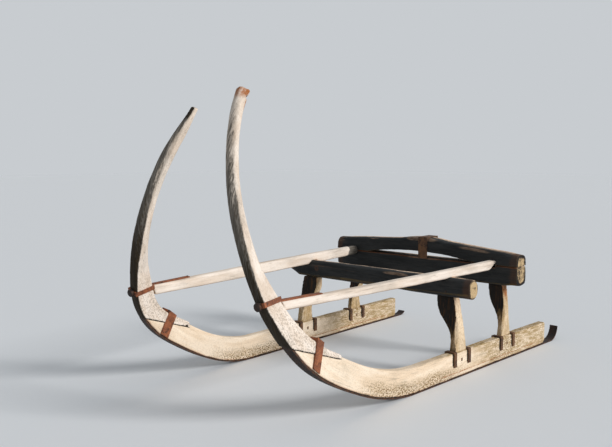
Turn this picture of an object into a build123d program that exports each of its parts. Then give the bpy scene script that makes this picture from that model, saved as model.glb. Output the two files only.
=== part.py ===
from build123d import *
from collections import namedtuple
from math import asin, atan2, cos, degrees, radians, sin, tan
import os

os.makedirs("parts", exist_ok=True)

# A hand-built mountain sled of weathered timber: two plank runners shod with iron, each
# continued at the front by a naturally curved horn that rises above the driver's shoulders.
# Millimetres. X runs forward, Y to the sled's left, Z up from the ground.
# A side is drawn in its own frame: X along the runner from its rear end, Y outward from the
# runner's middle plane, Z up. The right side is drawn the same way and mirrored.

# Stance of the runners
half_track = 433.0            # centre line to a runner's middle plane, at the rear end
toe_in = 1.6                  # degrees that each runner turns inward towards the front

# Runner planks
runner_height = 99.0
runner_thickness = 38.0
runner_corner = 4.0           # taken off the upper long edges
heel_chamfer = 12.0           # lower rear corner of the plank

# Iron shoes under the runners
shoe_thickness = 5.0
shoe_tail_radius = 66.0       # upturn at the tail

# Lean of the horns towards each other
lean_start = 150.0            # height at which the front begins to lean
lean_radius = 636.0           # how gently the lean comes on
lean_angle = 16.8             # degrees from upright above that

# Scarf between runner and horn
scarf_slope = 54.0            # degrees of the front curve where the seam comes out
seam_angle = 19.0             # degrees that the seam rises forward
seam_length = 218.0           # measured along the runner
station_spacing = 100.0       # between the sections of the curved timber

# Ends of the two horns
notch_slope = 121.0           # hollow under the hooked head of the left one
notch_radius = 9.0
notch_setback = -2.0          # its centre behind the horn's back

# Iron band round the scarf
scarf_band_width = 30.0
scarf_band_thickness = 4.0
scarf_band_setback = 108.0    # behind the front end of the seam
scarf_band_angle = 27.0       # degrees that its plane is turned from upright
scarf_band_slope = 38.0       # degrees of the front curve at the band

# Struts from the rear bolster to the horns
strut_width = 36.0
strut_rear_inset = 36.0       # strut inside the runner's plane, at the bolster
strut_lift = 1.5              # middle of the strut above the bolster's seam
strut_corner = 6.0            # taken off its long edges
tongue_height = 24.0          # tongue of the strut between the two bolster beams
tongue_width = 28.0
tongue_overrun = 10.0         # that it is left long on each side of the bolster

# Irons that tie strut and horn
strut_seat_slope = 69.0       # degrees of the front curve across from the strut's end
horn_band_width = 16.0
horn_band_thickness = 4.0
strap_length = 175.0
strap_width = 18.0
strap_thickness = 5.0
bolt_head_diameter = 28.0
bolt_head_length = 14.0
bolt_head_chamfer = 3.0
bolt_diameter = 9.0
bolt_length = 50.0

# Beams
front_beam_x = 728.0          # middle of the beam, ahead of the plank's rear end
front_beam_width = 68.0       # along the sled
front_beam_height = 78.0
front_beam_bottom = 324.0     # above the ground
front_beam_overhang = 58.0    # beyond the middle plane of the left runner
front_beam_snout_reach = 65.0 # and of the right one
front_beam_corner = 26.0
snout_length = 60.0           # tapered right-hand end
snout_shrink = 0.62           # its section as a share of the beam's
snout_lift = 8.3              # its middle above the beam's
bolster_x = 351.0
bolster_width = 85.0
bolster_lower_height = 86.0
bolster_bottom = 329.0
bolster_overhang = 67.0       # beyond the runners' middle planes
bolster_left_height = 50.0    # upper beam at its left end
bolster_right_height = 57.0   # and at its right end
bolster_corner = 9.0
bolster_top_corner = 18.0     # rounding of the upper beam's top
crown_left = 140.0            # the crown of the upper beam, across the sled
crown_peak = 10.0
crown_right = -120.0
crown_left_rise = 29.0        # left shoulder of the crown above the beam's left end
crown_right_rise = 30.0       # right shoulder
crown_rise = 42.0             # peak
arch_half_span = 300.0        # gap under the upper beam
arch_rise = 26.0
arch_peak = 40.0

# Iron strap over the bolster
beam_strap_width = 40.0
beam_strap_thickness = 4.0
beam_strap_place = 26.0       # across the sled, left of the centre line
beam_strap_lap = 4.0          # how far it laps the lower beam

# Posts, grown to shape: places as shares of the height between plank and beam
throat_low = 0.14             # where the inner face leaves the foot
throat_high = 0.90            # where it reaches the head
throat_hold = 0.52            # how far it stays upright
throat_turn = 0.54            # and how low the head's side of the curve starts
back_middle = 0.5             # middle of the outer face
back_swell = 6.0              # swell of the outer face there
waist_place = 0.55            # the narrowest place in the side view
tenon_width = 14.0
tenon_length = 46.0
tenon_depth = 50.0
head_tenon_diameter = 30.0
head_tenon_depth = 42.0
peg_diameter = 10.0
peg_height = 70.0             # above the ground
fit_gap = 0.15                # round a peg or bolt in its hole

# Iron staples over the runner beside each post
staple_width = 18.0
staple_thickness = 5.0
staple_leg = 56.0             # down each face of the plank
staple_gap = 2.0              # from the post's foot

Bend = namedtuple("Bend", "radius turn")
Station = namedtuple("Station", "slope depth thickness corner swell")
Side = namedtuple(
    "Side",
    "name rise_start bends horn band_slope band_tilt end_slant front_post_x"
    " tail_length tail_turn"
    " strut_height strut_gap strut_depths strut_sag",
)
Post = namedtuple(
    "Post",
    "name head_width head_inset head_length waist_length foot_length foot_thickness beam_bottom",
)

# Sections of plank nose and horn, placed by the slope of the front curve in degrees. Depth runs
# back from the front, thickness across. corner is taken off the long edges, and swell is how far
# the front stands ahead of the front curve.
nose_stations = [
    Station(0, runner_height, runner_thickness, runner_corner, 0),
    Station(9, runner_height, runner_thickness, runner_corner, 0),
    Station(18, runner_height, runner_thickness, runner_corner, 0),
    Station(26, 96, runner_thickness, runner_corner, 0),
    Station(42, 88, runner_thickness, runner_corner, 0),
    Station(60, 70, runner_thickness, runner_corner, 0),
]
left_horn = [
    Station(24, 106, runner_thickness, 5, 0),
    Station(34, 98, 41, 5, 2),
    Station(44, 90, 45, 4, 5),
    Station(56, 78, 49, 4, 8),
    Station(65, 74, 47, 4, 8),
    Station(70, 71, 45, 4, 8),
    Station(74, 63, 43, 5, 8),
    Station(80, 50, 43, 8, 8),
    Station(86, 49, 46, 12, 9),
    Station(91, 47, 47, 13.5, 10),
    Station(95, 44, 45, 13, 9),
    Station(104, 40, 41, 12, 6),
    Station(111, 39, 39, 11, 4),
    Station(117, 39, 35, 9, 3),
    Station(123.4, 44, 32, 6, 0),
]
right_horn = [
    Station(24, 106, runner_thickness, 5, 0),
    Station(34, 98, 40, 5, 0),
    Station(44, 88, 43, 4, 3),
    Station(56, 79, 46, 4, 6),
    Station(70, 75, 46, 4, 7),
    Station(76, 70, 46, 5, 8),
    Station(80, 66, 46, 8, 10),
    Station(84, 60, 48, 11, 11),
    Station(89, 54, 54, 15.5, 12),
    Station(94.5, 51, 51, 15, 10),
    Station(100, 47.5, 47.5, 14, 9),
    Station(111.5, 46, 46, 13, 8),
    Station(117, 44, 40, 11, 6),
    Station(119, 40, 34, 8, 3),
    Station(120.1, 20, 24, 5, 0),
]

# Front curve of each side as bends (radius, degrees), from the flat sole up to the horn's tip.
# band_slope is the slope of the front curve at the horn's band, and band_tilt how far the back
# of the band hangs. end_slant is how far the horn's end is cut off square, lowest at its front.
# tail_length and tail_turn are the iron shoe behind the plank: its straight length and the
# degrees that its end curls up. strut_height is the middle of the strut at the horn, strut_gap
# the opening between them, strut_depths are rear, middle and front, and strut_sag is how far it
# hangs at mid-length.
sides = [
    Side(
        "left", 1003.0,
        [Bend(832, 22.6), Bend(1559, 7.2), Bend(483, 41.9), Bend(823, 28.1), Bend(800, 23.8)],
        left_horn, 72.4, 9.0, 14.0, 710.0, 68.0, 88.0, 421.0, 0.3, (39.0, 33.0, 29.0), 3.0,
    ),
    Side(
        "right", 1101.0,
        [
            Bend(641, 26.1), Bend(1603, 8.0), Bend(394, 44.7),
            Bend(908, 9.9), Bend(758, 30.3), Bend(6000, 1.07),
        ],
        right_horn, 73.0, 2.0, 17.0, 734.0, 48.0, 40.0, 386.5, 4.0, (40.0, 48.0, 35.0), 0.0,
    ),
]

# Columns: sizes across the sled (width of the head, how far its middle stands inside the
# runner's plane) and along it (head, waist, foot), and the foot's thickness.
posts = [
    Post("front", 80.0, 51.0, 40.0, 48.0, 80.0, 30.0, front_beam_bottom),
    Post("rear", 66.0, 33.0, 42.0, 42.0, 80.0, 23.0, bolster_bottom),
]

runner_top = shoe_thickness + runner_height
bolster_half_length = half_track + bolster_overhang
front_beam_top = front_beam_bottom + front_beam_height
bolster_seam = bolster_bottom + bolster_lower_height
strut_rear_height = bolster_seam + strut_lift
far_out = 300.0               # reach of a cutting block beyond the wood it trims
shoe_bite = 0.5               # iron left inside the plank's curve before the plank is cut out


def front_point(side, slope):
    """Place (x, z) on the side's front curve where it climbs at this slope."""
    x, z, angle = side.rise_start, shoe_thickness, 0.0
    for bend in side.bends:
        end = min(angle + bend.turn, slope)
        x += bend.radius * (sin(radians(end)) - sin(radians(angle)))
        z += bend.radius * (cos(radians(angle)) - cos(radians(end)))
        angle = end
    return x, z


def distance_to(side, slope):
    """Length of the front curve from the flat sole to this slope."""
    length, angle = 0.0, 0.0
    for bend in side.bends:
        end = min(angle + bend.turn, slope)
        length += bend.radius * radians(end - angle)
        angle = end
    return length


def slope_after(side, distance):
    """Slope of the front curve this far along it."""
    angle = 0.0
    for bend in side.bends:
        turn = min(bend.turn, degrees(distance / bend.radius))
        angle += turn
        distance -= bend.radius * radians(turn)
    return angle


def station_at(stations, slope):
    """Section of the timber at this slope, between two rows of its table."""
    for low, high in zip(stations, stations[1:]):
        if slope <= high.slope:
            break
    share = min(max((slope - low.slope) / (high.slope - low.slope), 0), 1)
    sizes = [a + share * (b - a) for a, b in zip(low[1:], high[1:])]
    return Station(slope, *sizes)


def even_stations(side, stations, spacing):
    """Stations about this far apart along the front curve, from the first row to the last."""
    start = distance_to(side, stations[0].slope)
    length = distance_to(side, stations[-1].slope) - start
    count = round(length / spacing)
    slopes = [slope_after(side, start + length * step / count) for step in range(count + 1)]
    return [station_at(stations, slope) for slope in slopes]


def lean_at(height):
    """Inward offset and lean in degrees of the front at this height."""
    rise = height - lean_start
    if rise <= 0:
        return 0.0, 0.0
    full_rise = lean_radius * sin(radians(lean_angle))
    if rise < full_rise:
        lean = degrees(asin(rise / lean_radius))
        return lean_radius * (1 - cos(radians(lean))), lean
    bend_inset = lean_radius * (1 - cos(radians(lean_angle)))
    return bend_inset + (rise - full_rise) * tan(radians(lean_angle)), lean_angle


def station_plane(side, slope, inset):
    """Plane square to the front curve, with its origin this far in from the curve.
    Its X runs outward across the wood and its Y from the front edge to the back."""
    x, z = front_point(side, slope)
    x -= sin(radians(slope)) * inset
    z += cos(radians(slope)) * inset
    inward, lean = lean_at(z)
    climb = Vector(
        cos(radians(slope)),
        -sin(radians(slope)) * sin(radians(lean)),
        sin(radians(slope)) * cos(radians(lean)),
    )
    across = Vector(0, cos(radians(lean)), sin(radians(lean)))
    return Plane(origin=(x, -inward, z), x_dir=across, z_dir=climb)


def eased(width, depth, corner, whole=True):
    """Rectangular section with its corners taken off, all four or only those at the back."""
    face = Rectangle(width, depth)
    corners = face.vertices() if whole else face.vertices().group_by(Axis.Y)[-1]
    return chamfer(corners, corner)


def wood_loft(side, stations, whole):
    """Timber that follows the front curve through these stations."""
    return loft([
        station_plane(side, s.slope, s.depth / 2 - s.swell)
        * eased(s.thickness, s.depth, s.corner, whole)
        for s in even_stations(side, stations, station_spacing)
    ])


def side_block(points):
    """Cutting block as wide as the timber, from its outline in the side view."""
    return extrude(Plane.XZ * make_face(Polyline(*points, close=True).edges()), far_out, both=True)


def scarf_block(side):
    """Block over everything above the seam and ahead of the horn's foot."""
    x, z = front_point(side, scarf_slope)
    foot = x - seam_length
    ahead = x + far_out
    foot_z = z - seam_length * tan(radians(seam_angle))
    ahead_z = z + far_out * tan(radians(seam_angle))
    high = front_point(side, side.horn[-1].slope)[1] + far_out
    return side_block([(foot, foot_z), (ahead, ahead_z), (ahead, high), (foot, high)])


def over_ground(side, height):
    """Block over everything ahead of the flat sole and above this height."""
    start = side.rise_start
    tip_slope = side.horn[-1].slope
    ahead = start + distance_to(side, tip_slope)
    high = height + distance_to(side, tip_slope)
    return side_block([(start, height), (ahead, height), (ahead, high), (start, high)])


def make_plank(side):
    """Runner plank: a straight bar and the upturned nose, before it is trimmed and mortised."""
    section = eased(runner_thickness, runner_height, runner_corner, False)
    bar = extrude(station_plane(side, 0, runner_height / 2) * section, -side.rise_start)
    heel = bar.edges().filter_by(Axis.Y).group_by(Axis.X)[0].sort_by(Axis.Z)[0]
    bar = chamfer(heel, heel_chamfer)
    nose = wood_loft(side, nose_stations, False)
    return bar + (nose & over_ground(side, shoe_thickness))


def make_shoe(side, plank, above):
    """Iron sole: flat under the plank, upturned tail behind it, and up the nose to the seam."""
    tail, turn = side.tail_length, side.tail_turn
    inner = shoe_tail_radius - shoe_thickness
    lower = CenterArc((-tail, shoe_tail_radius), shoe_tail_radius, 270, -turn)
    upper = CenterArc((-tail, shoe_tail_radius), inner, 270, -turn)
    edges = [
        Line((side.rise_start, 0), (-tail, 0)),
        lower,
        Line(lower @ 1, upper @ 1),
        upper,
        Line((-tail, shoe_thickness), (side.rise_start, shoe_thickness)),
        Line((side.rise_start, shoe_thickness), (side.rise_start, 0)),
    ]
    flat = extrude(Plane.XZ * make_face(edges), runner_thickness / 2, both=True)
    nose = loft([
        station_plane(side, s.slope, (shoe_bite - shoe_thickness) / 2)
        * Rectangle(s.thickness, shoe_thickness + shoe_bite)
        for s in even_stations(side, nose_stations, station_spacing)
    ])
    return flat + ((nose & over_ground(side, 0)) - plank - above)


def post_x(side, post):
    """Place of a post along the runner."""
    return side.front_post_x if post.name == "front" else bolster_x


def make_post(side, post):
    """Grown knee: broad head under the beam, thin across and long along at the foot."""
    foot = post.foot_thickness / 2
    head_in = -post.head_inset - post.head_width / 2
    head_out = -post.head_inset + post.head_width / 2
    bottom, top = runner_top, post.beam_bottom
    height = top - bottom
    inner = Bezier(
        (-foot, bottom + throat_low * height),
        (-foot, bottom + throat_hold * height),
        (head_in, bottom + throat_turn * height),
        (head_in, bottom + throat_high * height),
    )
    outer_middle = ((head_out + foot) / 2 + back_swell, bottom + back_middle * height)
    front_view = make_face([
        Line((foot, bottom), (-foot, bottom)),
        Line((-foot, bottom), inner @ 0),
        inner,
        Line(inner @ 1, (head_in, top)),
        Line((head_in, top), (head_out, top)),
        ThreePointArc((head_out, top), outer_middle, (foot, bottom)),
    ])
    foot_x, waist_x, head_x = post.foot_length / 2, post.waist_length / 2, post.head_length / 2
    middle = bottom + waist_place * height
    side_view = make_face([
        Line((-foot_x, bottom), (foot_x, bottom)),
        ThreePointArc((foot_x, bottom), (waist_x, middle), (head_x, top)),
        Line((head_x, top), (-head_x, top)),
        ThreePointArc((-head_x, top), (-waist_x, middle), (-foot_x, bottom)),
    ])
    knee = extrude(Plane.YZ * front_view, far_out, both=True)
    knee &= extrude(Plane.XZ * side_view, far_out, both=True)
    knee += Pos(0, 0, bottom - tenon_depth / 2) * Box(tenon_length, tenon_width, tenon_depth)
    head_tenon = Cylinder(head_tenon_diameter / 2, head_tenon_depth)
    knee += Pos(0, -post.head_inset, top + head_tenon_depth / 2) * head_tenon
    return Pos(post_x(side, post), 0, 0) * knee


def peg_pin(side, post, diameter):
    """Round pin through plank and tenon, across the runner."""
    pin = Rot(90, 0, 0) * Cylinder(diameter / 2, runner_thickness)
    return Pos(post_x(side, post), 0, peg_height) * pin


def make_staple(side, post, direction, plank):
    """Iron strap bent over the plank just ahead of a post's foot, or just behind it."""
    x = post_x(side, post) + direction * (post.foot_length / 2 + staple_gap + staple_width / 2)
    height = staple_leg + staple_thickness
    width = runner_thickness + 2 * staple_thickness
    middle = runner_top + staple_thickness - height / 2
    block = Pos(x, 0, middle) * Box(staple_width, width, height)
    block = fillet(block.edges().filter_by(Axis.X).group_by(Axis.Z)[-1], staple_thickness)
    return block - plank


def make_horn(side, above):
    """Horn: from its foot on the plank's nose up to its tip."""
    horn = (wood_loft(side, side.horn, True) & above) - end_block(side)
    if side.name == "left":
        horn -= notch(side)
    return horn


def notch(side):
    """Hollow under the hooked head of the left horn."""
    s = station_at(side.horn, notch_slope)
    plane = station_plane(side, notch_slope, s.depth - s.swell + notch_setback)
    return plane * Rot(0, 90, 0) * Cylinder(notch_radius, far_out)


def end_block(side):
    """Cutting block beyond the slanting end of the horn."""
    end = side.horn[-1]
    plane = station_plane(side, end.slope, end.depth - end.swell) * Rot(side.end_slant, 0, 0)
    return plane * Pos(0, 0, far_out / 2) * Box(far_out, far_out, far_out)


def make_strut(side, extra_depth=0.0, width=strut_width, corner=strut_corner):
    """Strut from the bolster to the horn; its front end is left long."""
    horn_x, _ = front_point(side, side.band_slope)
    inward, _ = lean_at(side.strut_height)
    rear_x = bolster_x
    length = horn_x - rear_x
    pitch = degrees(atan2(side.strut_height - strut_rear_height, length))
    turn = degrees(atan2(inward - strut_rear_inset, length))
    rear, middle, front = (depth / 2 for depth in side.strut_depths)
    top_rear, top_front = rear + extra_depth, front + extra_depth
    top_middle, low_middle = middle + extra_depth - side.strut_sag, -middle - side.strut_sag
    profile = make_face([
        Line((0, -rear), (0, top_rear)),
        ThreePointArc((0, top_rear), (length / 2, top_middle), (length, top_front)),
        Line((length, top_front), (length, -front)),
        ThreePointArc((length, -front), (length / 2, low_middle), (0, -rear)),
    ])
    bar = extrude(Plane.XZ * profile, width / 2, both=True)
    if corner:
        bar = chamfer(bar.faces().filter_by(Axis.Y).edges().filter_by(GeomType.CIRCLE), corner)
    return Pos(rear_x, -strut_rear_inset, strut_rear_height) * Rot(0, -pitch, -turn) * bar


def make_tongue():
    """Tongue of a strut, between the two beams of the bolster."""
    length = bolster_width + 2 * tongue_overrun
    tongue = Box(length, tongue_width, tongue_height)
    return Pos(bolster_x, -strut_rear_inset, bolster_seam) * tongue


def band_plane(side):
    """Plane across the horn at its band, with its origin on the horn's front face."""
    swell = station_at(side.horn, side.band_slope).swell
    return station_plane(side, side.band_slope, -swell) * Rot(-side.band_tilt, 0, 0)


def horn_ring(side, grow, width):
    """Slab round the horn at the band, this much larger than the horn on each side."""
    s = station_at(side.horn, side.band_slope)
    depth = s.depth / cos(radians(side.band_tilt))
    slab = Box(s.thickness + 2 * grow, depth + 2 * grow, width)
    return band_plane(side) * Pos(0, depth / 2, 0) * slab


def back_point(side, slope):
    """Place (x, z) on the back of the horn, across from this slope of the front curve."""
    s = station_at(side.horn, strut_seat_slope)
    reach = s.depth - s.swell
    x, z = front_point(side, slope)
    return x - reach * sin(radians(slope)), z + reach * cos(radians(slope))


def horn_back(side):
    """Plane on the back of the horn where the strut ends. Its Y runs back from the horn."""
    low_x, low_z = back_point(side, strut_seat_slope - 3)
    high_x, high_z = back_point(side, strut_seat_slope + 3)
    climb = atan2(high_z - low_z, high_x - low_x)
    x, z = (low_x + high_x) / 2, (low_z + high_z) / 2
    x -= sin(climb) * side.strut_gap
    z += cos(climb) * side.strut_gap
    inward, lean = lean_at(z)
    up = Vector(cos(climb), -sin(climb) * sin(radians(lean)), sin(climb) * cos(radians(lean)))
    across = Vector(0, cos(radians(lean)), sin(radians(lean)))
    return Plane(origin=(x, -inward, z), x_dir=across, z_dir=up)


def bolt_shank(side, diameter, reach):
    """Round shank from the horn's front face inward."""
    plane = band_plane(side)
    middle = (reach - horn_band_thickness) / 2
    shank = Cylinder(diameter / 2, reach + horn_band_thickness)
    return plane * Pos(0, middle, 0) * Rot(90, 0, 0) * shank


def bolt_head(side):
    """Round knob head, seated on the front of the horn band."""
    plane = band_plane(side)
    head = Rot(90, 0, 0) * Cylinder(bolt_head_diameter / 2, bolt_head_length)
    head = chamfer(head.edges().group_by(Axis.Y)[0], bolt_head_chamfer)
    return plane * Pos(0, -horn_band_thickness - bolt_head_length / 2, 0) * head


def make_scarf_band(side, horn, plank, shoe):
    """Iron band round horn foot, plank nose and shoe."""
    s = station_at(side.horn, scarf_band_slope)
    plane = station_plane(side, scarf_band_slope, (s.depth - shoe_thickness) / 2)
    outer = plane * Box(
        s.thickness + 2 * scarf_band_thickness,
        s.depth + shoe_thickness + 2 * scarf_band_thickness,
        far_out,
    )
    x, z = front_point(side, scarf_slope)
    x -= scarf_band_setback
    z -= scarf_band_setback * tan(radians(seam_angle))
    slab = Pos(x, 0, z) * Rot(0, -scarf_band_angle, 0) * Box(scarf_band_width, far_out, far_out)
    return (outer & slab) - horn - plank - shoe


def make_front_beam():
    """Squared log across the posts, tapered to a blunt snout on the right."""
    middle_z = front_beam_bottom + front_beam_height / 2
    left_end = half_track + front_beam_overhang
    square_end = snout_length - half_track - front_beam_snout_reach
    section = fillet(Rectangle(front_beam_width, front_beam_height).vertices(), front_beam_corner)
    ahead = (1, 0, 0)
    root = Plane(origin=(front_beam_x, square_end, middle_z), x_dir=ahead, z_dir=(0, -1, 0))
    log = extrude(root * section, square_end - left_end)
    end = scale(section, snout_shrink)
    snout = loft([root * section, root * Pos(0, snout_lift, snout_length) * end])
    return log + snout


def make_bolster():
    """The two beams of the rear bolster: a straight one, and a crowned one arched over it."""
    x = bolster_x
    lower = Box(bolster_width, 2 * bolster_half_length, bolster_lower_height)
    lower = fillet(lower.edges().filter_by(Axis.Y), bolster_corner)
    lower = Pos(x, 0, bolster_bottom + bolster_lower_height / 2) * lower
    seam = bolster_seam
    left_top, right_top = seam + bolster_left_height, seam + bolster_right_height
    right = (crown_right, left_top + crown_right_rise)
    left = (crown_left, left_top + crown_left_rise)
    half, span = bolster_half_length, arch_half_span
    profile = make_face([
        Line((-half, seam), (-half, right_top)),
        Line((-half, right_top), right),
        ThreePointArc(right, (crown_peak, left_top + crown_rise), left),
        Line(left, (half, left_top)),
        Line((half, left_top), (half, seam)),
        Line((half, seam), (span, seam)),
        ThreePointArc((span, seam), (arch_peak, seam + arch_rise), (-span, seam)),
        Line((-span, seam), (-half, seam)),
    ])
    upper = Pos(x, 0, 0) * extrude(Plane.YZ * profile, bolster_width / 2, both=True)
    sides_of_it = upper.faces().filter_by(Axis.X)
    top_edges = [e for face in sides_of_it for e in face.edges() if e.center().Z > left_top]
    upper = fillet(top_edges, bolster_top_corner)
    return lower, upper


def make_beam_strap(lower, upper):
    """Iron strap bent over the upper beam and lapped on the faces of the lower one."""
    bottom = bolster_seam - beam_strap_lap
    top = bolster_seam + bolster_left_height + crown_rise + beam_strap_thickness
    x, y = bolster_x, beam_strap_place
    block = Box(bolster_width + 2 * beam_strap_thickness, beam_strap_width, top - bottom)
    block = fillet(block.edges().filter_by(Axis.Y).group_by(Axis.Z)[-1], beam_strap_thickness)
    block = Pos(x, y, (bottom + top) / 2) * block
    gap = Pos(x, y, bolster_seam) * Box(bolster_width, beam_strap_width, 2 * arch_rise)
    return block - upper - lower - gap


def make_side(side):
    """All pieces of one side, in the side's own frame."""
    above = scarf_block(side)
    plank = make_plank(side)
    shoe = make_shoe(side, plank, above)
    runner = plank - above
    horn = make_horn(side, above)
    pieces = {}
    for post in posts:
        knee = make_post(side, post)
        runner -= knee
        hole = peg_pin(side, post, peg_diameter + 2 * fit_gap)
        runner -= hole
        pieces[f"post_{post.name}"] = knee - hole
        pieces[f"peg_{post.name}"] = peg_pin(side, post, peg_diameter)
        pieces[f"staple_{post.name}_ahead"] = make_staple(side, post, 1, plank)
        pieces[f"staple_{post.name}_behind"] = make_staple(side, post, -1, plank)
    pieces["runner"] = runner
    pieces["shoe"] = shoe
    pieces["scarf_band"] = make_scarf_band(side, horn, plank - above, shoe)
    shank_hole = bolt_shank(side, bolt_diameter + 2 * fit_gap, bolt_length)
    band = horn_ring(side, horn_band_thickness, horn_band_width) - horn - shank_hole
    horn -= shank_hole
    pieces["horn"] = horn
    pieces["horn_band"] = band
    pieces["horn_bolt"] = bolt_head(side) + bolt_shank(side, bolt_diameter, bolt_length)
    seat = horn_back(side)
    ahead = seat * Pos(0, -far_out / 2, 0) * Box(far_out, far_out, 2 * far_out)
    ring = horn_ring(side, horn_band_thickness, horn_band_width)
    strut = make_strut(side)
    thick = make_strut(side, strap_thickness, strap_width, 0.0)
    reach = seat * Pos(0, strap_length / 2, 0) * Box(far_out, strap_length, far_out)
    strap = (thick & reach) - strut - ring
    strap = strap.solids().sort_by(Axis.Z)[-1]
    pieces["strut"] = strut - ahead - ring
    pieces["strut_strap"] = strap
    pieces["tongue"] = make_tongue()
    return pieces


def place(piece, side):
    """From a side's own frame into the sled's."""
    piece = Pos(0, half_track, 0) * Rot(0, 0, -toe_in) * piece
    return piece if side.name == "left" else piece.mirror(Plane.XZ)


front_beam = make_front_beam()
bolster_lower, bolster_upper = make_bolster()
beam_strap = make_beam_strap(bolster_lower, bolster_upper)
bolster_zone = Box(bolster_width, 4 * half_track, 4 * bolster_lower_height)
bolster_zone = Pos(bolster_x, 0, bolster_seam) * bolster_zone
parts = {}
for side in sides:
    for name, piece in make_side(side).items():
        parts[f"{name}_{side.name}"] = place(piece, side)
    tongue = parts.pop(f"tongue_{side.name}")
    bolster_lower -= tongue
    bolster_upper -= tongue
    strut = (parts[f"strut_{side.name}"] - bolster_zone).solids().sort_by(Axis.X)[-1]
    strut -= front_beam
    parts[f"strut_{side.name}"] = strut + (tongue & bolster_zone)
    front_beam -= parts[f"post_front_{side.name}"]
    bolster_lower -= parts[f"post_rear_{side.name}"]
parts["front_beam"] = front_beam
parts["bolster_lower"] = bolster_lower
parts["bolster_upper"] = bolster_upper
parts["beam_strap"] = beam_strap

# The origin goes to the middle of the sled's box, on the ground.
whole = Compound(children=[Compound(piece.solids()) for piece in parts.values()]).bounding_box()
shift = Pos(-whole.center().X, 0, -whole.min.Z)
for name, piece in parts.items():
    export_step(shift * Compound(piece.solids()), f"parts/{name}.step")
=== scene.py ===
import bpy
import bmesh
import math
import numpy as np
from mathutils import Matrix, Vector


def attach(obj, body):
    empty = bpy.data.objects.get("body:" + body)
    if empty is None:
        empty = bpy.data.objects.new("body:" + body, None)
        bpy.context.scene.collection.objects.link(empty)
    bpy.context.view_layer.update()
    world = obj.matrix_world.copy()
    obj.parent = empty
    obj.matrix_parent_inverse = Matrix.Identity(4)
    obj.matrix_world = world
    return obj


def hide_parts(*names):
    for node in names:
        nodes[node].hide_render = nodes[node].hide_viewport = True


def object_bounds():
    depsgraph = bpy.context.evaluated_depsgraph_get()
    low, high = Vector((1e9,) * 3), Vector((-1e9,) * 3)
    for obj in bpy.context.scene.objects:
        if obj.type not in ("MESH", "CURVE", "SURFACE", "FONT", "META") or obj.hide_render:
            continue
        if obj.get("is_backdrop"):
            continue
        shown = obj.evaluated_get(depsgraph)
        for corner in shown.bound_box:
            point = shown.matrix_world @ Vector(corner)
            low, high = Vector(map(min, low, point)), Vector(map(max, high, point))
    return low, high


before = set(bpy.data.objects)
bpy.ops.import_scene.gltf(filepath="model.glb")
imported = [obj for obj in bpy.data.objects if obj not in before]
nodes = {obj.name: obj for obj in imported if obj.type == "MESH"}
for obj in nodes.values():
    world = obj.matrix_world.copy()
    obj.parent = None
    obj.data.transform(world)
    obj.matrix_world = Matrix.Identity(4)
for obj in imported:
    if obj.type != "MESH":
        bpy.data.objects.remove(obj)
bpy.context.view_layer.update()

# Camera: place in metres, heading, pitch and roll in degrees, lens in mm on a 36 mm sensor
camera_place = Vector((2.4219, 1.9358, 0.8920))
camera_heading = 223.057
camera_pitch = -5.354
camera_roll = -0.150
camera_lens = 42.828
camera_sensor = 36.0
camera_reach = 200.0

# Floor, light and backdrop
floor_half = 30
floor_colour = (0.80, 0.81, 0.82, 1)
floor_roughness = 0.9
sun_from = Vector((-0.3, 0.86, 0.45))
sun_strength = 2.4
sun_angle = 0.3
sky_colour = (0.8, 0.85, 0.9, 1)
sky_strength = 0.45
backdrop_colour = (0.578, 0.604, 0.631, 1)

# The sides of the sled, in metres and degrees: they set the direction of the grain
rear_end_x = -0.8167
half_track = 0.433
toe_in = 1.6
toe_cos, toe_sin = math.cos(math.radians(toe_in)), math.sin(math.radians(toe_in))
shoe_thickness = 0.005
outward_sign = {"left": 1, "right": -1}
rise_start = {"left": 1.003, "right": 1.101}
# Bends of the front curve from the sole up: radius and turn of each
front_bends = {
    "left": [(0.832, 22.6), (1.559, 7.2), (0.483, 41.9), (0.823, 28.1), (0.800, 23.8)],
    "right": [
        (0.641, 26.1), (1.603, 8.0), (0.394, 44.7), (0.908, 9.9), (0.758, 30.3), (6.0, 1.07),
    ],
}

# Worn copies of the timber: sizes of the voxels, and the shift between two pieces' grain
beam_voxel = 0.004
thin_voxel = 0.0035
weld_distance = 1e-5
grain_shift = 0.3
lattice_size = 32               # the noise on the vertices repeats after this many lumps
outward_step = 1.02             # a little over 1, so that smoothing doesn't shrink a piece
upright_grain = [2, 0, 1]       # axes of a post, the one along its grain first
across_grain = [1, 0, 2]        # axes of a beam across the sled

# Places and sizes on the sled in metres, and shares of a size or of a colour
bolster_ends = (0.329, 0.468)   # height of the bolster's underside and top at its ends
bolster_end_dark = 0.27         # share of black on the bolster's end grain
end_rounding = {"front_beam": 0.7, "bolster_lower": 0.4, "bolster_upper": 0.4}  # 0 square, 1 oval
rounding_length = 0.075         # how far in from its ends a beam is rounded
strut_end_x = -0.423            # where the struts meet the bolster
wedge_cut = 0.75                # how much of the left strut's end is cut from below
knot_place = (-0.313, 0.370)    # across and up, on the front of the front beam
knot_radius = 0.009
foot_hole = (0.655, 0.212)      # along and up, a hole near the foot of the right horn
post_chamfer = {"front": 0.013, "rear": 0.009}      # at the waist of the left posts
chamfer_level = 0.004           # height of the levels in which a post's corner is cut
sole_line_height = 0.018        # groove along the runner above its sole
strap_rear_cut = 0.05           # height of the strap's rear end above its front one
strap_widening = 0.2            # how much wider the bolster's strap gets
# Scarf bands: widening, lean, and how far behind the front curve their legs end
scarf_bands = {"left": (1.1, 0.14, 0.007), "right": (1.4, 0.0, 0.0035)}
band_nail_shifts = (-0.006, 0.012)
band_nail_depth = 0.052
band_nail_radius = 0.005
small_nail_radius = 0.004
beam_nail = (-0.0547, 0.384, 0.348)
strap_nail_inset = 0.01
strap_nail_height = {"left": 0.435, "right": 0.419}
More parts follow.
